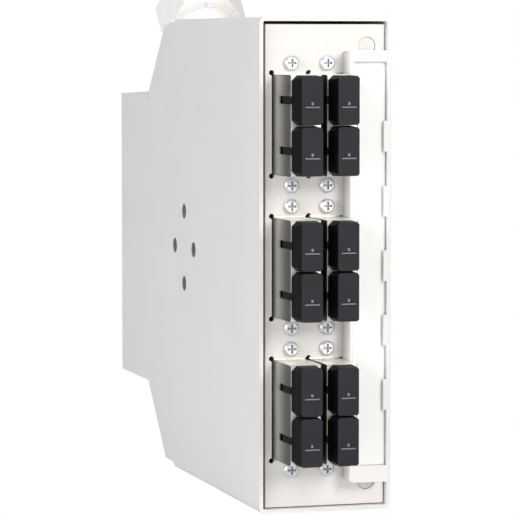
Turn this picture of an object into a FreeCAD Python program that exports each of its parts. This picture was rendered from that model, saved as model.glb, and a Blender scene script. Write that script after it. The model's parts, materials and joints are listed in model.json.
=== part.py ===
import FreeCAD, Part
import math
import os

# Slim fibre distribution box for a 35 mm mounting rail: a folded steel sleeve with a pull-out
# drawer that carries six duplex adapters, twelve dust caps, a label holder and a splice cassette.
# Millimetres. X runs across the box, Y from the front to the rail, Z up.
# Origin: middle of the rail seat, where the rail's flanges touch the clip plate.

V = FreeCAD.Vector

# Housing sleeve
housing_width = 35.0
end_room = 8.9
housing_depth = 147.0
sheet = 1.0
bend_inside = 0.5
wall_run = 86.0
edge_step = 1.6
block_start = 115.0
slope_run = 20.0
top_rise = 1.1
lap_length = 8.0
corner_relief = 1.1

# Four mounting holes in a diamond, on the side and on the back
clip_hole_r = 2.1
clip_hole_circle = 20.0
side_holes_depth = 74.2

# Rail clip
rail_height = 35.0
rail_lip = 1.0
clip_sheet = 1.5
clip_width = 15.6
clip_top = 23.0
clip_bottom = 30.0
hook_gap = 0.6
hook_overlap = 2.2
hook_clear = 0.2
latch_sheet = 1.2
latch_width = 12.0
latch_travel = 4.0
latch_hook = 1.6
latch_top = 17.9
latch_tail = 41.0
latch_window_top = 22.2
latch_window_bottom = 29.0
latch_window_half = 2.2
latch_slot_z = 37.0
latch_slot_width = 5.0
latch_slot_height = 2.0
latch_hook_gap = 0.35
latch_hook_slope = 0.8
latch_round = 0.4
latch_stop = 1.0
tab_clear = 0.4
guide_lip = 1.6
slide_gap = 0.25
spring_tab = 1.0
spring_wire = 0.4
spring_legs = 6
clip_screw_r = 2.0
clip_screw_head_r = 3.4
clip_screw_head = 1.2
clip_screw_past_nut = 0.5
clip_screw_cross = 3.2
clip_screw_cross_width = 0.6
clip_screw_cross_deep = 0.7
sink_clear = 0.05
press_nut_r = 3.4
press_nut_height = 2.4

# Drawer front and side plate
front_recess = 1.8
gap_left = 1.1
gap_right = 0.3
gap_top = 0.8
gap_bottom = 0.3
end_relief = 1.0
side_plate_room = 12.0
side_plate_end = 92.0
pin_inset = 4.7
pin_room = 6.25
pin_hole_r = 2.3

# Guide rails and catch brackets inside the sleeve
guide_sheet = 0.8
guide_start = 16.0
guide_end = 84.0
guide_flange = 7.0
guide_cover = 2.2
guide_play = 0.3
plate_play = 0.4
relief_past_fold = 0.3
bracket_reach = 8.0
bracket_half = 3.3
bracket_leg = 10.0
bracket_behind = 0.5
catch_hole_r = 2.2

# Duplex adapters
adapter_width = 8.3
adapter_gap = 1.2
column_room = 2.55
port_pitch = 12.7
group_gap = 0.7
groups_drop = 0.4
side_wall = 0.5
port_wall = 1.8
adapter_front = 13.0
adapter_rear = 12.0
flange_thick = 1.2
flange_margin = 2.3
key_width = 2.0
key_length = 10.0
window_side_clear = 0.9
window_end_clear = 0.35
window_relief = 0.7
screw_room = 2.8
screw_r = 1.0
screw_head_r = 1.9
screw_head = 1.3
screw_recess = 0.6
screw_recess_width = 0.55
screw_recess_span = 2.3
screw_chamfer = 0.45
screw_past_nut = 0.6
nut_flats = 4.0
nut_height = 1.6
hole_clear = 0.1

# Inserts that hold the alignment sleeves
insert_clear = 0.1
insert_plate = 2.0
insert_tube_r = 2.3
insert_tube_length = 14.0
sleeve_r = 1.6
sleeve_bore_r = 1.25
sleeve_length = 11.4
sleeve_slot = 0.4
latch_arm = 0.7
latch_arm_height = 3.0
latch_arm_length = 6.0

# Dust caps
cap_clear = 0.15
cap_plug = 7.0
cap_wall = 0.6
cap_seat = 0.2
cap_head = 5.3
cap_inset = 0.4
cap_gap = 0.2
cap_base_cut = 1.3
cap_taper = 1.0
cap_face_drop = 0.2
cap_face_cut = 0.5
cap_rib = 0.5
cap_rib_rise = 0.3
cap_rib_stop = 1.0
cap_ribs_dz = (4.1, -3.1)
cap_ridge_inset = 0.85
cap_ridge = 0.3
cap_ridge_dz = -1.65
cap_boss_r = 0.5
cap_boss_dz = -0.75
cap_mark_rise = 0.2
adapter_rim_cut = 0.25

# Label holder and label
holder_gap = 0.15
holder_inset = 0.6
holder_top_room = 7.4
holder_bottom_room = 6.7
holder_depth = 6.3
holder_wall = 0.9
holder_right_rim = 0.65
holder_recess = 1.5
holder_top_land = 2.8
holder_bottom_land = 4.2
holder_shell = 1.2
tab_length = 7.8
tab_pitch = 16.45
tab_count = 5
tab_reach = 0.9
tab_thick = 0.5
holder_round = 1.0
label_thick = 0.3
label_clear = 0.15
label_top_gap = 2.0

# Snap pins that hold the drawer shut
pin_head_r = 2.15
pin_head_sink = 0.35
pin_collar_r = 3.0
pin_collar = 0.4
pin_shank_r = 1.9
pin_length = 7.0
pin_slot = 0.8
pin_slot_start = 1.0
pin_nose = 1.5
pin_nose_r = 1.15

# Splice cassette
cassette_start = 24.0
cassette_length = 60.0
cassette_room = 2.5
cassette_height = 8.7
cassette_wall = 1.2
cassette_corner = 10.0
lid_thick = 1.2
cassette_mouth = 12.0
hub_below_rim = 1.0
hub_r = 10.2
hub_room = 14.5
comb_length = 12.0
comb_share = 0.27
comb_base = 0.6
splice_count = 6
splice_pitch = 3.4
splice_gap = 0.2
splice_room = 0.3
comb_top_room = 0.5
splice_clear = 0.1
comb_end = 0.5
cassette_screw_r = 1.5
cassette_screw_head_r = 2.8
cassette_screw_head = 1.4

# Cable gland on the upper slope and plug on the lower slope
entry_drop = 1.8
gasket_margin = 0.3865
gasket_land = 2.5
thread_inside = 9.0
gasket_thick = 1.5
collar_overhang = 0.6
base_height = 5.5
neck_step = 0.8
neck_top = 19.5
neck_wall = 1.5
bore_wall = 1.9
nut_start = 14.4
nut_hex_height = 11.5
nut_total = 18.0
nut_lip = 2.0
nut_dome_step = 0.4
nut_dome_bulge = 0.75
nut_dome_mid = 3.8
gland_bore_rim = 1.2
nut_travel = 6.0
seal_seat_clear = 0.2
nut_turn = -8.7
nut_clear = 0.06
nut_notch_r = 0.5
seal_clear = 0.3
seal_wall = 2.4
seal_chamfer = 1.5
seal_length = 15.0
locknut_wall = 2.1
locknut_height = 5.0
plug_head_round = 1.2
plug_slot = 14.0
plug_slot_width = 1.6
plug_slot_deep = 1.0
plug_head = 3.0
plug_gasket = 0.5
plug_wall = 2.0

# Places worked out from the sizes above
touching = 0.01
port_width = adapter_width - 2 * side_wall
adapter_pitch = adapter_width + adapter_gap
adapter_height = 2 * port_pitch
port_height = port_pitch - 2 * port_wall
screw_spacing = adapter_height + 2 * screw_room
flange_height = screw_spacing + 2 * flange_margin
group_pitch = flange_height + group_gap
housing_height = 2 * group_pitch + flange_height + 2 * end_room
half_w = housing_width / 2
half_h = housing_height / 2
inner_w = half_w - sheet
inner_h = half_h - sheet
front_y = -clip_sheet - housing_depth
back_y = -clip_sheet
edge_h = half_h - edge_step
block_half = edge_h - slope_run
slope_sum = block_start + block_half
panel_y = front_y + front_recess
panel_back_y = panel_y + sheet
panel_left = -inner_w + gap_left
panel_right = inner_w - gap_right
side_plate_half = inner_h - side_plate_room
pin_hole_z = inner_h - pin_room
holder_top = inner_h - holder_top_room
holder_bottom = -inner_h + holder_bottom_room
cassette_half = side_plate_half - cassette_room
hub_z = cassette_half - hub_room
splice_length = 2 * (hub_z - hub_r - splice_room)
splice_layer = (cassette_height - lid_thick - cassette_wall - comb_base - comb_top_room) / 2
splice_r = (splice_layer - splice_gap) / 2
comb_z = splice_length * comb_share
cap_base_width = adapter_width - 2 * cap_inset
cap_base_height = port_pitch - cap_gap
cap_face_width = cap_base_width - 2 * cap_taper
cap_ridge_width = cap_face_width - 2 * cap_ridge_inset
cap_face_height = cap_base_height - 2 * cap_face_drop
panel_top = inner_h - gap_top
panel_bottom = -inner_h + gap_bottom
plate_x = panel_right - sheet
guide_z = side_plate_half + guide_play
groups_z = [group_pitch - groups_drop, -groups_drop, -group_pitch - groups_drop]
first_column = panel_left + column_room + adapter_width / 2
columns_x = [first_column, first_column + adapter_pitch]
holder_left = columns_x[1] + adapter_width / 2 + holder_gap
holder_right = panel_right - holder_inset
pin_hole_x = panel_right - pin_inset
ports_dz = [port_pitch / 2, -port_pitch / 2]
rim_y = panel_y - adapter_front
flange_back_y = panel_back_y + flange_thick
rear_rim_y = flange_back_y + adapter_rear
slope_half = slope_run / math.sqrt(2)
gasket_r = slope_half - entry_drop - top_rise * math.sqrt(2) - gasket_margin
base_flats = 2 * (gasket_r + collar_overhang)
thread_r = gasket_r - gasket_land
gland_bore_r = thread_r - bore_wall
neck_r = thread_r + neck_step
neck_bore_r = neck_r - neck_wall
seal_r = neck_bore_r - seal_clear
seal_bore_r = seal_r - seal_wall
locknut_flats = 2 * (thread_r + locknut_wall)
plug_head_r = gasket_r
seal_end = nut_start + nut_total - nut_lip
seal_start = seal_end - seal_length


def at(depth):
    """Y of a point that lies this far behind the front edge of the housing."""
    return front_y + depth


def block(x0, x1, y0, y1, z0, z1):
    """Rectangular solid between two corners."""
    return Part.makeBox(x1 - x0, y1 - y0, z1 - z0, V(x0, y0, z0))


def rod(start, axis, radius, length):
    """Round bar from a start point along an axis."""
    return Part.makeCylinder(radius, length, start, axis)


def tube(start, axis, outer_r, inner_r, length):
    """Round bar with a through bore."""
    return rod(start, axis, outer_r, length).cut(rod(start, axis, inner_r, length))


def rounded_wire(points, radii):
    """Closed outline through the points, each corner rounded by its radius."""
    corners = []
    for index, corner in enumerate(points):
        radius = radii[index]
        toward = points[index - 1].sub(corner).normalize()
        away = points[(index + 1) % len(points)].sub(corner).normalize()
        if radius == 0:
            corners.append((corner, None, corner))
            continue
        half_angle = toward.getAngle(away) / 2
        reach = radius / math.tan(half_angle)
        bisector = toward.add(away).normalize()
        middle = corner.add(bisector * (radius / math.sin(half_angle) - radius))
        corners.append((corner.add(toward * reach), middle, corner.add(away * reach)))
    edges = []
    for index, (entry, middle, leave) in enumerate(corners):
        if middle is not None:
            edges.append(Part.Arc(entry, middle, leave).toShape())
        following = corners[(index + 1) % len(corners)][0]
        edges.append(Part.LineSegment(leave, following).toShape())
    return Part.Wire(edges)


def prism(points, radii, direction):
    """Flat outline with rounded corners, drawn out along a direction."""
    return Part.Face(rounded_wire(points, radii)).extrude(direction)


def side_outline(points, x0, x1, radii=None):
    """Outline given as (depth, height) pairs, drawn out across the box from x0 to x1."""
    corners = [V(x0, at(depth), height) for depth, height in points]
    return prism(corners, radii or [0] * len(corners), V(x1 - x0, 0, 0))


def rounded_frame(half_x, half_z, radius, y0, y1):
    """Upright rectangle with rounded corners, drawn out from y0 to y1."""
    corners = [V(x, y0, z) for x, z in
               ((-half_x, -half_z), (half_x, -half_z), (half_x, half_z), (-half_x, half_z))]
    return prism(corners, [radius] * 4, V(0, y1 - y0, 0))


def hexagon(flats, height, z0, turn=0.0):
    """Six-sided bar along Z, with the middle of one flat at the given turn from -Y."""
    corner_r = flats / 2 / math.cos(math.pi / 6)
    corners = []
    for step in range(6):
        angle = math.radians(turn - 90 + 30 + 60 * step)
        corners.append(V(corner_r * math.cos(angle), corner_r * math.sin(angle), z0))
    return Part.Face(Part.makePolygon(corners + corners[:1])).extrude(V(0, 0, height))


def corner_cone(flats, height, z0, bottom, top):
    """Cone pair that trims a six-sided bar's corners at the ends that are asked for."""
    inscribed = flats / 2
    corner_r = inscribed / math.cos(math.pi / 6)
    fall = (corner_r - inscribed) * math.tan(math.radians(30))
    outer = corner_r + touching
    start = inscribed if bottom else outer
    end = inscribed if top else outer
    line = [V(0, 0, z0), V(start, 0, z0), V(outer, 0, z0 + fall), V(outer, 0, z0 + height - fall),
            V(end, 0, z0 + height), V(0, 0, z0 + height)]
    return Part.Face(Part.makePolygon(line + line[:1])).revolve(V(0, 0, 0), V(0, 0, 1), 360)


def turned(line):
    """Solid of revolution about Z from (radius, height) pairs."""
    points = [V(r, 0, z) for r, z in line]
    return Part.Face(Part.makePolygon(points + points[:1])).revolve(V(0, 0, 0), V(0, 0, 1), 360)


def joined(shapes):
    """One solid from touching solids."""
    return shapes[0].fuse(shapes[1:]).removeSplitter()


def diamond(middle, first, second, axis, length):
    """Four mounting holes on a circle, at its ends along the two given directions."""
    reach = clip_hole_circle / 2
    places = [middle.add(first * reach), middle.sub(first * reach),
              middle.add(second * reach), middle.sub(second * reach)]
    return [rod(place, axis, clip_hole_r, length) for place in places]


def panel_edges():
    """Cut edge of a side panel behind the top and bottom walls, as (depth, height)."""
    upper = [(wall_run - lap_length, edge_h), (slope_sum - edge_h, edge_h),
             (block_start, block_half), (housing_depth, block_half)]
    return upper + [(depth, -height) for depth, height in reversed(upper)]


def housing_shell():
    """Sleeve folded from one sheet, open at the front, with both side panels run on to the rail."""
    outer = rounded_frame(half_w, half_h, bend_inside + sheet, front_y, at(wall_run))
    inner = rounded_frame(inner_w, inner_h, bend_inside, front_y, at(wall_run))
    left = side_outline(panel_edges(), -half_w, -inner_w)
    right = side_outline(panel_edges(), inner_w, half_w)
    shell = joined([outer.cut(inner), left, right])
    holes = diamond(V(-half_w, at(side_holes_depth), 0), V(0, 1, 0), V(0, 0, 1), V(1, 0, 0), sheet)
    for x in (-half_w, inner_w):
        holes.append(rod(V(x, at(block_start), block_half), V(1, 0, 0), corner_relief, sheet))
    return shell.cut(holes)


def strip_edges():
    """Outer face of the back strip as (depth, height): lap, slope, top, back, bottom, slope, lap."""
    rise = block_half + top_rise
    return [(wall_run - lap_length, inner_h), (slope_sum - inner_h, inner_h),
            (slope_sum - rise, rise), (housing_depth, block_half),
            (housing_depth, -block_half), (block_start, -block_half),
            (slope_sum - inner_h, -inner_h), (wall_run - lap_length, -inner_h)]


def inset(points, distance):
    """The same open line moved to its right-hand side by a distance, with square joints."""
    lines = []
    for (d0, h0), (d1, h1) in zip(points, points[1:]):
        length = math.hypot(d1 - d0, h1 - h0)
        step_d = (h1 - h0) / length * distance
        step_h = -(d1 - d0) / length * distance
        lines.append(((d0 + step_d, h0 + step_h), (d1 + step_d, h1 + step_h)))
    moved = [lines[0][0]]
    for (a, b), (c, d) in zip(lines, lines[1:]):
        ux, uy = b[0] - a[0], b[1] - a[1]
        vx, vy = d[0] - c[0], d[1] - c[1]
        along = ((c[0] - a[0]) * vy - (c[1] - a[1]) * vx) / (ux * vy - uy * vx)
        moved.append((a[0] + ux * along, a[1] + uy * along))
    return moved + [lines[-1][1]]


def entry_placement(sign):
    """Frame of a cable entry: local Z leaves the slope, local -Y points to the front along it."""
    middle_h = (edge_h + block_half) / 2
    middle_d = slope_sum - middle_h
    turn = FreeCAD.Rotation(V(1, 0, 0), -45 if sign > 0 else -135)
    centre = V(0, at(middle_d), sign * middle_h)
    drop = turn.multVec(V(0, entry_drop if sign > 0 else 0, 0))
    return FreeCAD.Placement(centre.add(drop), turn)


def placed(shape, sign):
    """Shape moved from its own entry frame to the slope."""
    moved = shape.copy()
    moved.Placement = entry_placement(sign)
    return moved


def back_strip():
    """Strip folded six times that closes the sleeve: two slopes, the recess walls and the back."""
    outer = strip_edges()
    inner = inset(outer, sheet)
    tight, wide = bend_inside, bend_inside + sheet
    outer_radii = [0, wide, tight, wide, wide, tight, wide, 0]
    inner_radii = [0, tight, wide, tight, tight, wide, tight, 0]
    outline = outer + inner[::-1]
    radii = outer_radii + inner_radii[::-1]
    strip = side_outline(outline, -inner_w, inner_w, radii)
    holes = diamond(V(0, back_y - sheet, 0), V(1, 0, 0), V(0, 0, 1), V(0, 1, 0), sheet)
    entry = rod(V(0, 0, -2 * sheet), V(0, 0, 1), thread_r + hole_clear, 4 * sheet)
    lap_start, lap_end = at(wall_run - lap_length), at(wall_run + relief_past_fold)
    laps = [block(x, x + bend_inside, lap_start, lap_end, -half_h, half_h)
            for x in (-inner_w, inner_w - bend_inside)]
    return strip.cut(holes + laps + [placed(entry, 1), placed(entry, -1)])


def guide_rails():
    """Two folded rails on the right wall that hold the edges of the drawer's side plate."""
    inside = plate_x - plate_play
    start, end = at(guide_start), at(guide_end)
    rail = joined([
        block(inner_w - guide_sheet, inner_w, start, end, guide_z, guide_z + guide_flange),
        block(inside - guide_sheet, inner_w, start, end, guide_z, guide_z + guide_sheet),
        block(inside - guide_sheet, inside, start, end, guide_z - guide_cover, guide_z + guide_sheet)])
    return Part.makeCompound([rail, rail.mirror(V(0, 0, 0), V(0, 0, 1))])


def catch_brackets():
    """Two small angles behind the drawer front that the snap pins push into."""
    brackets = []
    face_y = panel_back_y + bracket_behind
    for sign in (1, -1):
        z = sign * pin_hole_z
        tab = block(inner_w - bracket_reach, inner_w, face_y, face_y + guide_sheet,
                    z - bracket_half, z + bracket_half)
        leg = block(inner_w - guide_sheet, inner_w, face_y, face_y + bracket_leg,
                    z - bracket_half, z + bracket_half)
        hole = rod(V(pin_hole_x, face_y, z), V(0, 1, 0), catch_hole_r, guide_sheet)
        brackets.append(joined([tab, leg]).cut(hole))
    return Part.makeCompound(brackets)


def drawer_plate():
    """Front and side plate of the drawer, folded from one sheet, with three double windows."""
    outer = [V(panel_left, panel_y, 0), V(panel_right, panel_y, 0),
             V(panel_right, at(side_plate_end), 0), V(plate_x, at(side_plate_end), 0),
             V(plate_x, panel_back_y, 0), V(panel_left, panel_back_y, 0)]
    radii = [0, bend_inside + sheet, 0, 0, bend_inside, 0]
    bent = prism(outer, radii, V(0, 0, 2 * side_plate_half))
    bent.translate(V(0, 0, -side_plate_half))
    relief = side_plate_half + end_relief
    parts = [bent, block(panel_left, plate_x - bend_inside, panel_y, panel_back_y, panel_bottom, panel_top),
             block(panel_left, panel_right, panel_y, panel_back_y, relief, panel_top),
             block(panel_left, panel_right, panel_y, panel_back_y, panel_bottom, -relief)]
    plate = joined(parts)
    cuts = []
    left = columns_x[0] - adapter_width / 2 - window_side_clear
    right = columns_x[1] + adapter_width / 2 + window_side_clear
    half = adapter_height / 2 + window_end_clear
    for z in groups_z:
        cuts.append(block(left, right, panel_y, panel_back_y, z - half, z + half))
        for x in (left, (left + right) / 2, right):
            for edge in (z - half, z + half):
                cuts.append(rod(V(x, panel_y, edge), V(0, 1, 0), window_relief, sheet))
        for x in columns_x:
            for side in (-1, 1):
                place = V(x, panel_y, z + side * screw_spacing / 2)
                cuts.append(rod(place, V(0, 1, 0), screw_r + hole_clear, sheet))
    for side in (-1, 1):
        cuts.append(rod(V(pin_hole_x, panel_y, side * pin_hole_z), V(0, 1, 0), pin_hole_r, sheet))
        cuts.append(rod(V(plate_x, cassette_screw_y(), side * hub_z), V(1, 0, 0),
                        cassette_screw_r + hole_clear, sheet))
    return plate.cut(cuts)


def adapter(x, z):
    """Metal body of one duplex adapter: two keyed through ports and a flange behind the panel."""
    half_x = adapter_width / 2
    half_z = adapter_height / 2
    body = block(x - half_x, x + half_x, rim_y, rear_rim_y, z - half_z, z + half_z)
    rim = [edge for edge in body.Edges if edge.BoundBox.YMax < rim_y + touching]
    body = body.makeChamfer(adapter_rim_cut, rim)
    flange = block(x - half_x, x + half_x, panel_back_y, flange_back_y,
                   z - flange_height / 2, z + flange_height / 2)
    cuts = []
    for dz in ports_dz:
        cuts.append(block(x - port_width / 2, x + port_width / 2, rim_y, rear_rim_y,
                          z + dz - port_height / 2, z + dz + port_height / 2))
        for start in (rim_y, rear_rim_y - key_length):
            cuts.append(block(x - half_x, x, start, start + key_length,
                              z + dz - key_width / 2, z + dz + key_width / 2))
    for side in (-1, 1):
        place = V(x, panel_back_y, z + side * screw_spacing / 2)
        cuts.append(rod(place, V(0, 1, 0), screw_r + hole_clear, flange_thick))
    return joined([body, flange]).cut(cuts)


def port_places():
    """Middle of each port as (x, z), column by column and from the top down."""
    return [(x, z + dz) for x in columns_x for z in groups_z for dz in ports_dz]


def sleeve_insert(x, z):
    """Plastic insert of one port: a plate with a tube through it and two latch arms each way."""
    middle_y = (rim_y + rear_rim_y) / 2
    half_x = port_width / 2 - insert_clear
    half_z = port_height / 2 - insert_clear
    plate = block(x - half_x, x + half_x, middle_y - insert_plate / 2, middle_y + insert_plate / 2,
                  z - half_z, z + half_z)
    barrel = rod(V(x, middle_y - insert_tube_length / 2, z), V(0, 1, 0), insert_tube_r,
                 insert_tube_length)
    reach = insert_plate / 2 + latch_arm_length
    arms = [block(x - latch_arm_height / 2, x + latch_arm_height / 2, middle_y, middle_y + reach,
                  z + side * half_z - (latch_arm if side > 0 else 0),
                  z + side * half_z + (0 if side > 0 else latch_arm)) for side in (-1, 1)]
    bore = rod(V(x, middle_y - insert_tube_length / 2, z), V(0, 1, 0), sleeve_r,
               insert_tube_length)
    return joined([plate, barrel] + arms).cut(bore)


def alignment_sleeve(x, z):
    """Split ceramic sleeve in the insert's tube."""
    start = (rim_y + rear_rim_y) / 2 - sleeve_length / 2
    sleeve = tube(V(x, start, z), V(0, 1, 0), sleeve_r, sleeve_bore_r, sleeve_length)
    slot = block(x - sleeve_slot / 2, x + sleeve_slot / 2, start, start + sleeve_length, z, z + sleeve_r)
    return sleeve.cut(slot)


def screw_places():
    """Middle of each adapter screw as (x, z)."""
    return [(x, z + side * screw_spacing / 2) for x in columns_x for z in groups_z
            for side in (1, -1)]


def adapter_screw(x, z):
    """Cheese-head screw with a cross recess, through the panel, the flange and the nut."""
    length = sheet + flange_thick + nut_height + screw_past_nut
    head = rod(V(x, panel_y - screw_head, z), V(0, 1, 0), screw_head_r, screw_head)
    rim = [edge for edge in head.Edges if edge.BoundBox.YMax < panel_y - screw_head + touching]
    head = head.makeChamfer(screw_chamfer, rim)
    shank = rod(V(x, panel_y, z), V(0, 1, 0), screw_r, length)
    top = panel_y - screw_head
    half = screw_recess_width / 2
    arm = screw_recess_span / 2
    cross = [block(x - arm, x + arm, top, top + screw_recess, z - half, z + half),
             block(x - half, x + half, top, top + screw_recess, z - arm, z + arm)]
    return joined([head, shank]).cut(cross)


def adapter_nut(x, z):
    """Six-sided nut against the back of the adapter's flange."""
    nut = hexagon(nut_flats, nut_height, 0).cut(rod(V(0, 0, 0), V(0, 0, 1), screw_r, nut_height))
    nut.Placement = FreeCAD.Placement(V(x, flange_back_y, z), FreeCAD.Rotation(V(1, 0, 0), -90))
    return nut


def rectangle_ring(x, z, y, width, height, cut):
    """Eight-cornered outline in an upright plane."""
    a, b = width / 2, height / 2
    pairs = [(-a + cut, -b), (a - cut, -b), (a, -b + cut), (a, b - cut),
             (a - cut, b), (-a + cut, b), (-a, b - cut), (-a, -b + cut)]
    points = [V(x + dx, y, z + dz) for dx, dz in pairs]
    return Part.makePolygon(points + points[:1])


def dust_cap(x, z):
    """Moulded cap: a tapered grip outside and a hollow keyed plug that fills the port."""
    base_y = rim_y - cap_seat
    face_y = base_y - cap_head
    head = Part.makeLoft([rectangle_ring(x, z, base_y, cap_base_width, cap_base_height, cap_base_cut),
                          rectangle_ring(x, z, face_y, cap_face_width, cap_face_height, cap_face_cut)],
                         True, True)
    half_x = port_width / 2 - cap_clear
    half_z = port_height / 2 - cap_clear
    end_y = rim_y + cap_plug
    plug = block(x - half_x, x + half_x, base_y, end_y, z - half_z, z + half_z)
    hollow = block(x - half_x + cap_wall, x + half_x - cap_wall, rim_y, end_y,
                   z - half_z + cap_wall, z + half_z - cap_wall)
    ribs = []
    for dz in cap_ribs_dz:
        wide, narrow = cap_base_width / 2, cap_face_width / 2 + cap_rib_rise
        low = z + dz - cap_rib / 2
        line = [V(x - wide, base_y, low), V(x + wide, base_y, low),
                V(x + narrow, face_y + cap_rib_stop, low),
                V(x - narrow, face_y + cap_rib_stop, low)]
        ribs.append(Part.Face(Part.makePolygon(line + line[:1])).extrude(V(0, 0, cap_rib)))
    ridge_z = z + cap_ridge_dz
    ridge = block(x - cap_ridge_width / 2, x + cap_ridge_width / 2, face_y - cap_mark_rise, face_y,
                  ridge_z - cap_ridge / 2, ridge_z + cap_ridge / 2)
    boss = Part.makeCone(cap_boss_r, cap_boss_r / 2, cap_mark_rise,
                         V(x, face_y, z + cap_boss_dz), V(0, -1, 0))
    key_half = key_width / 2 - cap_clear
    key = block(x - adapter_width / 2 + cap_clear, x - half_x, base_y, end_y,
                z - key_half, z + key_half)
    return joined([head, plug.cut(hollow), key, ridge, boss] + ribs)


def label_holder():
    """Moulded label carrier: a hollow bar with a sunk label field and five tabs on its right rim."""
    left, right = holder_left, holder_right
    front = panel_y - holder_depth
    body = rounded_bar(left, right, front, panel_y, holder_bottom, holder_top, holder_round)
    floor_y = front + holder_recess
    field = block(left + holder_wall, right - holder_right_rim, front, floor_y,
                  holder_bottom + holder_bottom_land, holder_top - holder_top_land)
    hollow = block(left + holder_shell, right - holder_shell, floor_y + holder_shell, panel_y,
                   holder_bottom + holder_shell, holder_top - holder_shell)
    tabs = []
    first = -(tab_count - 1) / 2 * tab_pitch
    edge = right - holder_right_rim
    for step in range(tab_count):
        z = first + step * tab_pitch
        tabs.append(block(edge - tab_reach, edge, front, front + tab_thick,
                          z - tab_length / 2, z + tab_length / 2))
    return joined([body.cut([field, hollow])] + tabs)


def rounded_bar(x0, x1, y0, y1, z0, z1, radius):
    """Bar whose outline seen from the front has rounded corners."""
    corners = [V(x0, y0, z0), V(x1, y0, z0), V(x1, y0, z1), V(x0, y0, z1)]
    return prism(corners, [radius] * 4, V(0, y1 - y0, 0))


def label_strip():
    """Plain card in the holder's field, under the tabs."""
    left = holder_left + holder_wall + label_clear
    right = holder_right - holder_right_rim - label_clear
    back = panel_y - holder_depth + holder_recess
    return block(left, right, back - label_thick, back,
                 holder_bottom + holder_bottom_land + label_clear,
                 holder_top - holder_top_land - label_top_gap)


def snap_pin(z):
    """Split plastic pin: head sunk in the panel's hole, collar behind it, shank in the bracket."""
    head_y = panel_y + pin_head_sink
    parts = [rod(V(pin_hole_x, head_y, z), V(0, 1, 0), pin_head_r, panel_back_y - head_y),
             rod(V(pin_hole_x, panel_back_y, z), V(0, 1, 0), pin_collar_r, pin_collar),
             rod(V(pin_hole_x, panel_back_y, z), V(0, 1, 0), pin_shank_r, pin_length - pin_nose)]
    nose = Part.makeCone(pin_shank_r, pin_nose_r, pin_nose,
                         V(pin_hole_x, panel_back_y + pin_length - pin_nose, z), V(0, 1, 0))
    slot = block(pin_hole_x - pin_shank_r, pin_hole_x + pin_shank_r,
                 panel_back_y + pin_slot_start, panel_back_y + pin_length,
                 z - pin_slot / 2, z + pin_slot / 2)
    return joined(parts + [nose]).cut(slot)


def cassette_screw_y():
    """Depth of the two screws and of the fibre hubs around them."""
    return at(cassette_start + cassette_length / 2)


def cassette_outline(x0, x1, shrink):
    """Plan of the cassette, drawn in by a distance, between two faces."""
    y0, y1 = at(cassette_start) + shrink, at(cassette_start + cassette_length) - shrink
    z = cassette_half - shrink
    corners = [V(x0, y0, -z), V(x0, y1, -z), V(x0, y1, z), V(x0, y0, z)]
    return prism(corners, [cassette_corner - shrink] * 4, V(x1 - x0, 0, 0))


def splice_cassette():
    """Shallow tray on the side plate, with a rim and two hubs that the fibre is coiled round."""
    floor_x = plate_x - cassette_wall
    open_x = plate_x - cassette_height + lid_thick
    rim = cassette_outline(open_x, floor_x, 0).cut(cassette_outline(open_x, floor_x, cassette_wall))
    floor = cassette_outline(floor_x, plate_x, 0)
    parts = [floor, rim]
    for side in (-1, 1):
        middle = V(open_x + hub_below_rim, cassette_screw_y(), side * hub_z)
        parts.append(tube(middle, V(1, 0, 0), hub_r, hub_r - cassette_wall, floor_x - middle.x))
    tray = joined(parts)
    cuts = [rod(V(floor_x, cassette_screw_y(), side * hub_z), V(1, 0, 0),
                cassette_screw_r + hole_clear, cassette_wall) for side in (-1, 1)]
    for side in (-1, 1):
        cuts.append(block(open_x, floor_x, cassette_screw_y() - cassette_mouth / 2,
                          cassette_screw_y() + cassette_mouth / 2,
                          side * cassette_half - cassette_wall, side * cassette_half + cassette_wall))
    return tray.cut(cuts)


def cassette_lid():
    """Flat lid that snaps on the cassette's rim."""
    open_x = plate_x - cassette_height
    return cassette_outline(open_x, open_x + lid_thick, 0)


def splice_places():
    """Middle of each splice sleeve as (x, y), in two layers."""
    first = cassette_screw_y() - (splice_count - 1) / 2 * splice_pitch
    base_x = plate_x - cassette_wall - comb_base - splice_r - splice_clear
    return [(base_x - layer * splice_layer, first + step * splice_pitch)
            for step in range(splice_count) for layer in (0, 1)]


def splice_comb(z):
    """Soft comb with a slot for each pair of splice sleeves."""
    floor_x = plate_x - cassette_wall
    top_x = floor_x - comb_base - 2 * splice_layer
    wall = splice_count * splice_pitch / 2 + comb_end
    body = block(top_x, floor_x, cassette_screw_y() - wall, cassette_screw_y() + wall,
                 z - comb_length / 2, z + comb_length / 2)
    slots = []
    half = splice_r + splice_clear
    for x, y in splice_places()[::2]:
        slots.append(block(top_x, floor_x - comb_base, y - half, y + half,
                           z - comb_length / 2, z + comb_length / 2))
    return body.cut(slots)


def splice_sleeve(x, y):
    """Heat-shrink splice protector."""
    return rod(V(x, y, -splice_length / 2), V(0, 0, 1), splice_r, splice_length)


def cassette_screw(z):
    """Flat-headed screw through the cassette's floor into the side plate."""
    floor_x = plate_x - cassette_wall
    head = rod(V(floor_x - cassette_screw_head, cassette_screw_y(), z), V(1, 0, 0),
               cassette_screw_head_r, cassette_screw_head)
    shank = rod(V(floor_x, cassette_screw_y(), z), V(1, 0, 0), cassette_screw_r,
                cassette_wall + sheet)
    return joined([head, shank])


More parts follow.
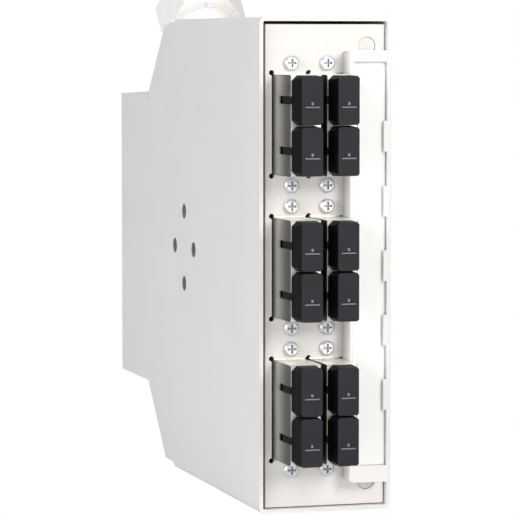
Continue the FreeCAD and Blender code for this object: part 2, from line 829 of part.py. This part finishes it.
def gland_body():
    """Threaded body of the gland: stem through the slope, six-sided collar and bored neck."""
    collar = hexagon(base_flats, base_height, gasket_thick, nut_turn)
    collar = collar.common(corner_cone(base_flats, base_height, gasket_thick, False, True))
    stem = rod(V(0, 0, -thread_inside - sheet), V(0, 0, 1), thread_r,
               thread_inside + sheet + gasket_thick)
    top = gasket_thick + base_height
    neck = rod(V(0, 0, top), V(0, 0, 1), neck_r, neck_top - top)
    bore = rod(V(0, 0, -thread_inside - sheet), V(0, 0, 1), gland_bore_r,
               thread_inside + sheet + neck_top)
    seat = rod(V(0, 0, seal_start - nut_travel - seal_seat_clear), V(0, 0, 1), neck_bore_r, neck_top)
    return joined([collar, stem, neck]).cut([bore, seat])


def gland_nut():
    """Dome nut of the gland: six flats, a rounded top and a threaded bore."""
    hexed = hexagon(base_flats, nut_hex_height, nut_start, nut_turn)
    hexed = hexed.common(corner_cone(base_flats, nut_hex_height, nut_start, True, True))
    dome_base = nut_start + nut_hex_height
    dome_top = nut_start + nut_total
    dome_r = base_flats / 2 - nut_dome_step
    mouth_r = gland_bore_r + gland_bore_rim
    outline = [V(0, 0, dome_base), V(dome_r, 0, dome_base)]
    shoulder = Part.Arc(V(dome_r, 0, dome_base), V(dome_r - nut_dome_bulge, 0, dome_base + nut_dome_mid),
                        V(mouth_r, 0, dome_top)).toShape()
    sides = [Part.LineSegment(V(mouth_r, 0, dome_top), V(0, 0, dome_top)).toShape(),
             Part.LineSegment(V(0, 0, dome_top), V(0, 0, dome_base)).toShape(),
             Part.LineSegment(outline[0], outline[1]).toShape()]
    dome = Part.Face(Part.Wire([sides[2], shoulder, sides[0], sides[1]]))
    dome = dome.revolve(V(0, 0, 0), V(0, 0, 1), 360)
    thread = rod(V(0, 0, nut_start), V(0, 0, 1), neck_r + nut_clear, dome_base - nut_start)
    inside = rod(V(0, 0, nut_start), V(0, 0, 1), neck_bore_r, nut_total - nut_lip)
    mouth = rod(V(0, 0, nut_start), V(0, 0, 1), gland_bore_r, nut_total)
    notches = [rod(V(0, 0, nut_start), V(math.cos(angle), math.sin(angle), 0), nut_notch_r,
                   base_flats) for angle in
               (math.radians(nut_turn - 90 + 60 * step) for step in range(6))]
    return joined([hexed, dome]).cut([thread, inside, mouth] + notches)


def gland_seal():
    """Rubber ring that the nut presses round the cable."""
    return turned([(seal_bore_r, seal_start), (seal_r, seal_start), (seal_r, seal_end - seal_chamfer),
                   (seal_r - seal_chamfer, seal_end), (seal_bore_r, seal_end)])


def gland_gasket():
    """Flat ring between the collar and the slope."""
    return tube(V(0, 0, 0), V(0, 0, 1), gasket_r, thread_r + hole_clear, gasket_thick)


def entry_locknut():
    """Six-sided locknut inside the housing."""
    nut = hexagon(locknut_flats, locknut_height, -sheet - locknut_height)
    return nut.cut(rod(V(0, 0, -sheet - locknut_height), V(0, 0, 1), thread_r + nut_clear,
                       locknut_height))


def blanking_plug():
    """Round-headed plug with a hollow threaded stem that closes the lower entry."""
    head = turned([(0, plug_gasket), (plug_head_r, plug_gasket), (plug_head_r, plug_head - plug_head_round),
                   (plug_head_r - plug_head_round, plug_head), (0, plug_head)])
    stem = rod(V(0, 0, -thread_inside), V(0, 0, 1), thread_r, thread_inside + plug_gasket)
    hollow = rod(V(0, 0, -thread_inside), V(0, 0, 1), thread_r - plug_wall,
                 thread_inside - plug_gasket)
    slot = block(-plug_slot / 2, plug_slot / 2, -plug_slot_width / 2, plug_slot_width / 2,
                 plug_head - plug_slot_deep, plug_head)
    return joined([head, stem]).cut([hollow, slot])


def plug_gasket_ring():
    """Thin flat ring under the plug's head."""
    return tube(V(0, 0, 0), V(0, 0, 1), plug_head_r - collar_overhang, thread_r + hole_clear, plug_gasket)


def clip_plate():
    """Steel clip plate: a fixed hook over the rail's top flange and folded guides for the latch."""
    half = clip_width / 2
    hook_z = rail_height / 2 + hook_clear
    hook_y = rail_lip + hook_gap
    hook = [V(-half, -clip_sheet, clip_top), V(-half, -clip_sheet, -clip_bottom),
            V(-half, 0, -clip_bottom), V(-half, 0, hook_z),
            V(-half, hook_y, hook_z), V(-half, hook_y, hook_z - hook_overlap),
            V(-half, hook_y + clip_sheet, hook_z - hook_overlap),
            V(-half, hook_y + clip_sheet, clip_top)]
    plate = prism(hook, [bend_inside, 0, 0, 0, 0, 0, bend_inside, bend_inside + sheet],
                  V(clip_width, 0, 0))
    guides = []
    inner = latch_width / 2 + slide_gap
    top_y = latch_sheet + 2 * slide_gap
    low, high = -clip_bottom, -rail_height / 2 - latch_hook - latch_travel - latch_stop
    for side in (-1, 1):
        wall = block(min(side * inner, side * (inner + clip_sheet)),
                     max(side * inner, side * (inner + clip_sheet)),
                     0, top_y + clip_sheet, low, high)
        lip = block(min(side * (inner - guide_lip), side * (inner + clip_sheet)),
                    max(side * (inner - guide_lip), side * (inner + clip_sheet)),
                    top_y, top_y + clip_sheet, low, high)
        guides += [wall, lip]
    tab_z = -latch_window_bottom + slide_gap
    tab = block(-latch_window_half + tab_clear, latch_window_half - tab_clear, 0, slide_gap + latch_sheet,
                tab_z, tab_z + spring_tab)
    sinks = []
    for side in (-1, 1):
        place = V(0, -clip_sheet, side * clip_hole_circle / 2)
        sinks.append(rod(place, V(0, 1, 0), clip_screw_r + sink_clear, clip_sheet))
        sinks.append(Part.makeCone(clip_screw_r + sink_clear, clip_screw_head_r + sink_clear,
                                   clip_screw_head,
                                   V(0, -clip_screw_head, place.z), V(0, 1, 0)))
    return joined([plate, tab] + guides).cut(sinks)


def clip_latch():
    """Flat latch in the guides: a hook behind the rail's lower flange, a window, a tail slot."""
    back = slide_gap + latch_sheet
    tip_y = rail_lip + latch_hook_gap
    half = latch_width / 2
    thick_z = -latch_top - latch_sheet
    hook_z = -rail_height / 2 + latch_hook
    corners = [V(-half, y, z) for y, z in
               ((slide_gap, -latch_tail), (back, -latch_tail), (back, thick_z),
                (tip_y + latch_sheet, thick_z), (tip_y + latch_sheet, hook_z + latch_hook_slope),
                (tip_y, hook_z), (tip_y, -latch_top), (slide_gap, -latch_top))]
    latch = prism(corners, [0, latch_round, 0, latch_round, 0, 0, 0, 0], V(latch_width, 0, 0))
    window = block(-latch_window_half, latch_window_half, slide_gap, back,
                   -latch_window_bottom, -latch_window_top)
    slot = block(-latch_slot_width / 2, latch_slot_width / 2, slide_gap, back,
                 -latch_slot_z - latch_slot_height / 2, -latch_slot_z + latch_slot_height / 2)
    return latch.cut([window, slot])


def latch_spring():
    """Flat serpentine spring between the plate's tab and the top of the latch's window."""
    low = -latch_window_bottom + slide_gap + spring_tab
    high = -latch_window_top - spring_wire
    reach = latch_window_half - tab_clear
    rise = (high - low) / spring_legs
    y = slide_gap + (latch_sheet - spring_wire) / 2
    parts = []
    for leg in range(spring_legs + 1):
        z = low + leg * rise
        parts.append(block(-reach, reach, y, y + spring_wire, z, z + spring_wire))
        if leg < spring_legs:
            x = reach - spring_wire if leg % 2 else -reach
            parts.append(block(x, x + spring_wire, y, y + spring_wire, z, z + rise + spring_wire))
    return joined(parts)


def clip_screws():
    """Two countersunk screws through the clip plate and the back wall."""
    screws = []
    length = clip_sheet + sheet + press_nut_height + clip_screw_past_nut
    for side in (-1, 1):
        z = side * clip_hole_circle / 2
        head = Part.makeCone(clip_screw_r, clip_screw_head_r, clip_screw_head,
                             V(0, -clip_screw_head, z), V(0, 1, 0))
        shank = rod(V(0, -length, z), V(0, 1, 0), clip_screw_r, length - clip_screw_cross_deep)
        long, short = clip_screw_cross / 2, clip_screw_cross_width / 2
        cross = [block(-long, long, -clip_screw_cross_deep, 0, z - short, z + short),
                 block(-short, short, -clip_screw_cross_deep, 0, z - long, z + long)]
        screws.append(joined([head, shank]).cut(cross))
    return Part.makeCompound(screws)


def press_nuts():
    """Four round nuts pressed on the inside of the back wall, one behind each hole."""
    nuts = []
    reach = clip_hole_circle / 2
    for x, z in ((0, reach), (0, -reach), (reach, 0), (-reach, 0)):
        nuts.append(tube(V(x, back_y - sheet - press_nut_height, z), V(0, 1, 0),
                         press_nut_r, clip_screw_r, press_nut_height))
    return Part.makeCompound(nuts)


def main():
    """Write every piece to its own file."""
    os.makedirs("parts", exist_ok=True)
    pieces = {
        "housing_shell": housing_shell(),
        "back_strip": back_strip(),
        "guide_rails": guide_rails(),
        "catch_brackets": catch_brackets(),
        "drawer_plate": drawer_plate(),
        "sleeve_inserts": Part.makeCompound([sleeve_insert(x, z) for x, z in port_places()]),
        "alignment_sleeves": Part.makeCompound([alignment_sleeve(x, z) for x, z in port_places()]),
        "adapter_screws": Part.makeCompound([adapter_screw(x, z) for x, z in screw_places()]),
        "adapter_nuts": Part.makeCompound([adapter_nut(x, z) for x, z in screw_places()]),
        "label_holder": label_holder(),
        "label_strip": label_strip(),
        "snap_pins": Part.makeCompound([snap_pin(side * pin_hole_z) for side in (1, -1)]),
        "splice_cassette": splice_cassette(),
        "cassette_lid": cassette_lid(),
        "splice_combs": Part.makeCompound([splice_comb(side * comb_z) for side in (1, -1)]),
        "splice_sleeves": Part.makeCompound([splice_sleeve(x, y) for x, y in splice_places()]),
        "cassette_screws": Part.makeCompound([cassette_screw(side * hub_z) for side in (1, -1)]),
        "gland_body": placed(gland_body(), 1),
        "gland_nut": placed(gland_nut(), 1),
        "gland_seal": placed(gland_seal(), 1),
        "gland_gasket": placed(gland_gasket(), 1),
        "gland_locknut": placed(entry_locknut(), 1),
        "blanking_plug": placed(blanking_plug(), -1),
        "plug_gasket": placed(plug_gasket_ring(), -1),
        "plug_locknut": placed(entry_locknut(), -1),
        "clip_plate": clip_plate(),
        "clip_latch": clip_latch(),
        "latch_spring": latch_spring(),
        "clip_screws": clip_screws(),
        "press_nuts": press_nuts(),
    }
    for number, (x, z) in enumerate([(x, z) for x in columns_x for z in groups_z], 1):
        pieces[f"adapter_{number}"] = adapter(x, z)
    for number, (x, z) in enumerate(port_places(), 1):
        pieces[f"dust_cap_{number}"] = dust_cap(x, z)
    for name, shape in pieces.items():
        solids = shape.Solids
        print(name, "solids", len(solids), "valid", shape.isValid(),
              "volume", round(shape.Volume, 1))
        shape.exportStep(f"parts/{name}.step")


main()
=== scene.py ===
import json
import math

import bpy
from mathutils import Matrix, Vector


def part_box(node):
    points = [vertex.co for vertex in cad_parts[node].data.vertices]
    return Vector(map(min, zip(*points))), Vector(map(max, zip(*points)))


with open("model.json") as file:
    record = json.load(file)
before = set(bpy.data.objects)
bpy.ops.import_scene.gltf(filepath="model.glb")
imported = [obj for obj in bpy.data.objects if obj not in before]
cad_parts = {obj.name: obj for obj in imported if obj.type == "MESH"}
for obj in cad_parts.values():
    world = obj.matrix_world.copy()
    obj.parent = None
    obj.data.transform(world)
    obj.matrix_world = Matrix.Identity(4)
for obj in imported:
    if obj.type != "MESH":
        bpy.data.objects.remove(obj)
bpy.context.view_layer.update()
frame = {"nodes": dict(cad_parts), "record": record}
nodes = frame["nodes"]
record = frame["record"]
slot_of = {part["node"]: part["material_slot"] for part in record["subparts"]}

MM = 0.001
WHITE = (1.0, 1.0, 1.0)

# Grain of every material
CLOUD_DETAIL = 4.0
CLOUD_LOW = 0.3
CLOUD_HIGH = 0.7
GRAIN_DETAIL = 3.0
GRAIN_DEPTH = 0.1 * MM

# A face looks sideways where its normal's X passes this
SIDEWAYS = 0.6

# Softened edges, width in millimetres by material slot
EDGE_WIDTH = {"painted_sheet": 0.3, "cap_black": 0.25, "white_plastic": 0.22, "gland_plastic": 0.3,
              "adapter_metal": 0.1, "zinc_screws": 0.1, "zinc_sheet": 0.1, "cream_plastic": 0.1}
EDGE_ANGLE = math.radians(40)
EDGE_SEGMENTS = 2

# Room
ROOM_LIGHT = 0.24
FLOOR_HALF = 3.0
FLOOR_GREY = 0.9

# Camera, fitted to the photo
PHOTO_PIXELS = 515
FOCAL_PIXELS = 2961.34
SENSOR_WIDTH = 36.0
CAMERA_PLACE = (-226.90 * MM, -864.39 * MM, 57.35 * MM)
CAMERA_YAW = -0.2839
CAMERA_PITCH = -0.0735


# Shader steps

def math_step(tree, operation, first, second=0.0):
    """Math node; each side is a socket or a number."""
    node = tree.nodes.new("ShaderNodeMath")
    node.operation = operation
    for index, value in enumerate((first, second)):
        if isinstance(value, (int, float)):
            node.inputs[index].default_value = value
        else:
            tree.links.new(value, node.inputs[index])
    return node.outputs["Value"]


def span(tree, value, start, end, from_scale, to_scale):
    """Steady change between two scales while a value runs from start to end."""
    node = tree.nodes.new("ShaderNodeMapRange")
    tree.links.new(value, node.inputs["Value"])
    for key, number in (("From Min", start), ("From Max", end), ("To Min", from_scale),
                        ("To Max", to_scale)):
        node.inputs[key].default_value = number
    return node.outputs["Result"]


def noise(tree, size, detail):
    """Noise in the object's own space."""
    place = tree.nodes.new("ShaderNodeTexCoord")
    cloud = tree.nodes.new("ShaderNodeTexNoise")
    cloud.inputs["Scale"].default_value = size
    cloud.inputs["Detail"].default_value = detail
    tree.links.new(place.outputs["Object"], cloud.inputs["Vector"])
    return cloud.outputs["Fac"]


def depth_of(tree):
    """Depth of a point in the CAD frame, which is the object's own space."""
    place = tree.nodes.new("ShaderNodeTexCoord")
    spot = tree.nodes.new("ShaderNodeSeparateXYZ")
    tree.links.new(place.outputs["Object"], spot.inputs["Vector"])
    return spot.outputs["Y"]


def turned_aside(tree):
    """How far a face looks to the left or right, from 0 to 1."""
    place = tree.nodes.new("ShaderNodeTexCoord")
    facing = tree.nodes.new("ShaderNodeSeparateXYZ")
    tree.links.new(place.outputs["Normal"], facing.inputs["Vector"])
    return math_step(tree, "ABSOLUTE", facing.outputs["X"])


def for_camera(tree, lit, seen):
    """Shader that lights the scene with one side and shows the other to the camera."""
    path = tree.nodes.new("ShaderNodeLightPath")
    choice = tree.nodes.new("ShaderNodeMixShader")
    tree.links.new(path.outputs["Is Camera Ray"], choice.inputs["Fac"])
    tree.links.new(lit, choice.inputs[1])
    tree.links.new(seen, choice.inputs[2])
    return choice.outputs["Shader"]


# Materials

def finish(name, color, roughness, metallic=0.0, tone=0.03, tone_size=60.0, bump=0.05,
           bump_size=900.0, coat=0.0, transmission=0.0, spread=0.08, specular=0.5):
    """Surface with slight changes of tone and gloss, and a fine grain."""
    material = bpy.data.materials.new(name)
    material.use_nodes = True
    tree = material.node_tree
    surface = tree.nodes["Principled BSDF"]
    surface.inputs["Metallic"].default_value = metallic
    surface.inputs["Coat Weight"].default_value = coat
    surface.inputs["Transmission Weight"].default_value = transmission
    surface.inputs["Specular IOR Level"].default_value = specular
    cloud = noise(tree, tone_size, CLOUD_DETAIL)
    shade = tree.nodes.new("ShaderNodeVectorMath")
    shade.operation = "SCALE"
    shade.inputs[0].default_value = color
    brightness = span(tree, cloud, CLOUD_LOW, CLOUD_HIGH, 1.0 - tone, 1.0 + tone)
    tree.links.new(brightness, shade.inputs["Scale"])
    tree.links.new(shade.outputs["Vector"], surface.inputs["Base Color"])
    gloss = span(tree, cloud, CLOUD_LOW, CLOUD_HIGH, roughness - spread / 2, roughness + spread / 2)
    tree.links.new(gloss, surface.inputs["Roughness"])
    relief = tree.nodes.new("ShaderNodeBump")
    relief.inputs["Strength"].default_value = bump
    relief.inputs["Distance"].default_value = GRAIN_DEPTH
    tree.links.new(noise(tree, bump_size, GRAIN_DETAIL), relief.inputs["Height"])
    tree.links.new(relief.outputs["Normal"], surface.inputs["Normal"])
    return material


looks = {
    "painted_sheet": finish("powder_coat", (0.83, 0.80, 0.785), 0.5, tone=0.012, bump=0.12,
                            bump_size=1500.0, spread=0.06),
    "zinc_sheet": finish("zinc_sheet", (0.62, 0.62, 0.64), 0.34, metallic=1.0, tone=0.08,
                         tone_size=300.0),
    "spring_steel": finish("spring_steel", (0.35, 0.35, 0.37), 0.3, metallic=1.0),
    "zinc_screws": finish("zinc_screws", (0.68, 0.70, 0.74), 0.34, metallic=0.7, tone=0.12,
                          tone_size=500.0),
    "adapter_metal": finish("adapter_metal", (0.50, 0.485, 0.45), 0.32, metallic=0.6, tone=0.04,
                            tone_size=220.0),
    "blue_plastic": finish("blue_plastic", (0.012, 0.03, 0.10), 0.4),
    "white_ceramic": finish("white_ceramic", (0.85, 0.84, 0.80), 0.15, coat=0.4),
    "white_plastic": finish("white_plastic", (0.88, 0.865, 0.845), 0.38, tone=0.01, bump=0.04),
    "white_card": finish("white_card", (0.96, 0.96, 0.96), 0.8, tone=0.005, bump=0.08),
    "cream_plastic": finish("cream_plastic", (0.80, 0.77, 0.74), 0.42, tone=0.02),
    "cap_black": finish("cap_black", (0.0265, 0.028, 0.032), 0.55, tone=0.10, tone_size=180.0,
                        bump=0.1, bump_size=1200.0, spread=0.14, specular=0.10),
    "black_tray": finish("black_tray", (0.03, 0.03, 0.032), 0.5),
    "clear_lid": finish("clear_lid", (0.86, 0.89, 0.90), 0.12, transmission=0.9, tone=0.01),
    "comb_rubber": finish("comb_rubber", (0.16, 0.16, 0.17), 0.7),
    "splice_plastic": finish("splice_plastic", (0.75, 0.78, 0.82), 0.2, transmission=0.4),
    "gland_plastic": finish("gland_plastic", (0.93, 0.915, 0.90), 0.42, tone=0.012),
    "seal_rubber": finish("seal_rubber", (0.03, 0.03, 0.032), 0.65),
}


# Tones that follow the shading of the photo

def scale_colour(material, scale):
    """Multiply the colour that reaches the surface by a socket's value."""
    tree = material.node_tree
    color = tree.nodes["Principled BSDF"].inputs["Base Color"]
    shade = tree.nodes.new("ShaderNodeVectorMath")
    shade.operation = "SCALE"
    tree.links.new(color.links[0].from_socket, shade.inputs[0])
    tree.links.new(scale, shade.inputs["Scale"])
    tree.links.new(shade.outputs["Vector"], color)


def tone_sides(material, start, end, side, other, bend=1.0):
    """Scale the faces that look sideways and the others, each along the depth."""
    tree = material.node_tree
    depth = math_step(tree, "POWER", span(tree, depth_of(tree), start, end, 0.0, 1.0), bend)
    beside = span(tree, depth, 0.0, 1.0, *side)
    ahead = span(tree, depth, 0.0, 1.0, *other)
    sideways = math_step(tree, "GREATER_THAN", turned_aside(tree), SIDEWAYS)
    change = math_step(tree, "MULTIPLY", math_step(tree, "SUBTRACT", beside, ahead), sideways)
    scale_colour(material, math_step(tree, "ADD", change, ahead))


def tone_step(material, start, width, before_step, after_step):
    """Scale the colour with a step along the depth."""
    tree = material.node_tree
    scale_colour(material, span(tree, depth_of(tree), start, start + width, before_step, after_step))


def tone_near(material, middle, reach, scale):
    """Scale the faces near a point that don't look sideways."""
    tree = material.node_tree
    place = tree.nodes.new("ShaderNodeTexCoord")
    away = tree.nodes.new("ShaderNodeVectorMath")
    away.operation = "DISTANCE"
    away.inputs[1].default_value = middle
    tree.links.new(place.outputs["Object"], away.inputs[0])
    wall = math_step(tree, "LESS_THAN", turned_aside(tree), SIDEWAYS)
    near = math_step(tree, "LESS_THAN", away.outputs["Value"], reach)
    change = math_step(tree, "MULTIPLY", math_step(tree, "MULTIPLY", wall, near), scale - 1.0)
    scale_colour(material, math_step(tree, "ADD", change, 1.0))


def front_of(node):
    """Depth of a node's front, in metres."""
    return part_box(node)[0][1]


def back_of(node):
    """Depth of a node's back, in metres."""
    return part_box(node)[1][1]


def paint_shade_in_side_holes():
    """Painted shade: the walls in the four side holes are darkened where shade falls inside them."""
    pattern = next(mount for mount in record["mounts"] if mount["name"] == "side_holes")
    margin = 4.0
    reach = (pattern["dims"]["pcd_mm"] / 2 + margin) * MM
    tone_near(looks["painted_sheet"], pattern["pos_m"], reach, scale=0.4)


def paint_light_and_shade_on_adapters():
    """Painted reflection and shade: side walls painted dark towards the ports and brighter near the
    drawer front, as a painted reflection of its white sheet; other faces painted brighter as painted
    highlights; behind the drawer's front sheet the painted light is taken back to about the plain
    colour.
    """
    metal = looks["adapter_metal"]
    panel = front_of("drawer_plate")
    behind_panel = panel + 1.5 * MM
    tone_sides(metal, front_of("adapter_1"), panel, side=(0.15, 1.9), other=(1.9, 1.95), bend=2.0)
    tone_step(metal, behind_panel, 1.0 * MM, before_step=1.0, after_step=0.5)


def paint_shade_on_holder():
    """Painted light and shade: side walls of the label holder painted slightly lighter at the front
    and darker towards its back, where shade gathers at the sheet.
    """
    tone_sides(looks["white_plastic"], front_of("label_holder"), back_of("label_holder"),
               side=(1.1, 0.5), other=(1.0, 1.0))


def paint_light_and_shade_on_caps():
    """Painted shade on the flanks, and painted highlights on the tips of the ridge and the boss on
    each front.
    """
    black = looks["cap_black"]
    front = front_of("dust_cap_1")
    tip = 0.10 * MM
    tone_sides(black, front, back_of("dust_cap_1"), side=(0.15, 0.15), other=(1.0, 1.0))
    tone_step(black, front + tip, 0.05 * MM, before_step=8.0, after_step=1.0)


def paint_shade_in_screw_recesses():
    """Painted shade: a dark band where the cross recess ends; plain before and behind it."""
    zinc = looks["zinc_screws"]
    band_start = front_of("adapter_screws") + 0.50 * MM
    band_end = band_start + 0.18 * MM
    blend = 0.08 * MM
    tone_step(zinc, band_start, blend, before_step=1.0, after_step=0.4)
    tone_step(zinc, band_end, blend, before_step=1.0, after_step=2.5)


paint_shade_in_side_holes()
paint_light_and_shade_on_adapters()
paint_shade_on_holder()
paint_light_and_shade_on_caps()
paint_shade_in_screw_recesses()


def dress(name, piece):
    """Give a node its material and softened edges."""
    slot = slot_of[name]
    piece.data.materials.clear()
    piece.data.materials.append(looks[slot])
    if slot in EDGE_WIDTH:
        soften = piece.modifiers.new("edges", "BEVEL")
        soften.width = EDGE_WIDTH[slot] * MM
        soften.segments = EDGE_SEGMENTS
        soften.limit_method = "ANGLE"
        soften.angle_limit = EDGE_ANGLE
        soften.harden_normals = True


for name, piece in nodes.items():
    dress(name, piece)


# Room, lights and camera

def surround():
    """White room: pure white to the camera, softer as a light source."""
    world = bpy.data.worlds.new("room")
    bpy.context.scene.world = world
    world.use_nodes = True
    tree = world.node_tree
    tree.nodes.clear()
    lit = tree.nodes.new("ShaderNodeBackground")
    lit.inputs["Color"].default_value = (*WHITE, 1.0)
    lit.inputs["Strength"].default_value = ROOM_LIGHT
    seen = tree.nodes.new("ShaderNodeBackground")
    seen.inputs["Color"].default_value = (*WHITE, 1.0)
    seen.inputs["Strength"].default_value = 1.0
    out = tree.nodes.new("ShaderNodeOutputWorld")
    choice = for_camera(tree, lit.outputs["Background"], seen.outputs["Background"])
    tree.links.new(choice, out.inputs["Surface"])


def floor():
    """Plain white floor under the box."""
    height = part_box("housing_shell")[0][2]
    half = FLOOR_HALF
    corners = [(-half, -half, height), (half, -half, height), (half, half, height),
               (-half, half, height)]
    mesh = bpy.data.meshes.new("floor")
    mesh.from_pydata(corners, [], [(0, 1, 2, 3)])
    plane = bpy.data.objects.new("floor", mesh)
    bpy.context.scene.collection.objects.link(plane)
    mesh.materials.append(floor_white())


def floor_white():
    """Pale grey as a surface, pure white to the camera."""
    material = bpy.data.materials.new("floor_white")
    material.use_nodes = True
    tree = material.node_tree
    surface = tree.nodes["Principled BSDF"]
    surface.inputs["Base Color"].default_value = (FLOOR_GREY, FLOOR_GREY, FLOOR_GREY, 1.0)
    surface.inputs["Roughness"].default_value = 0.9
    white = tree.nodes.new("ShaderNodeEmission")
    white.inputs["Strength"].default_value = 1.0
    choice = for_camera(tree, surface.outputs["BSDF"], white.outputs["Emission"])
    tree.links.new(choice, tree.nodes["Material Output"].inputs["Surface"])
    return material


def lamp(name, place, target, size, power, color=WHITE):
    """Soft square light aimed at a point; size in metres and power in watts."""
    data = bpy.data.lights.new(name, "AREA")
    data.color = color
    data.size = size
    data.energy = power
    item = bpy.data.objects.new(name, data)
    item.location = place
    item.rotation_euler = (Vector(target) - Vector(place)).to_track_quat("-Z", "Y").to_euler()
    bpy.context.scene.collection.objects.link(item)


def photo_camera():
    """Camera with the place, turn and lens of the photo."""
    data = bpy.data.cameras.new("camera")
    data.sensor_width = SENSOR_WIDTH
    data.lens = SENSOR_WIDTH * FOCAL_PIXELS / PHOTO_PIXELS
    data.clip_start = 0.05
    data.clip_end = 20.0
    camera = bpy.data.objects.new("camera", data)
    forward = Vector((-math.sin(CAMERA_YAW) * math.cos(CAMERA_PITCH),
                      math.cos(CAMERA_YAW) * math.cos(CAMERA_PITCH),
                      math.sin(CAMERA_PITCH)))
    right = Vector((math.cos(CAMERA_YAW), math.sin(CAMERA_YAW), 0.0))
    up = right.cross(forward)
    turn = Matrix((right, up, -forward)).transposed().to_4x4()
    camera.matrix_world = Matrix.Translation(CAMERA_PLACE) @ turn
    bpy.context.scene.collection.objects.link(camera)
    bpy.context.scene.camera = camera


surround()
floor()
lamp("key", place=(0.24, -0.87, 0.28), target=(0.0, -0.14, 0.02), size=0.28, power=3.15,
     color=(1.0, 0.975, 0.935))
lamp("overhead", place=(0.0, -0.15, 0.95), target=(0.0, -0.10, 0.0), size=1.1, power=5.5)
lamp("front_box", place=(0.0, -1.4, 0.05), target=(0.0, -0.15, 0.0), size=0.9, power=1.5)
lamp("left_fill", place=(-0.95, -0.55, 0.20), target=(0.0, -0.10, 0.0), size=0.8, power=5.9,
     color=(0.93, 0.99, 1.0))
photo_camera()

scene = bpy.context.scene
scene.render.resolution_x = PHOTO_PIXELS
scene.render.resolution_y = PHOTO_PIXELS
scene.view_settings.view_transform = "Standard"
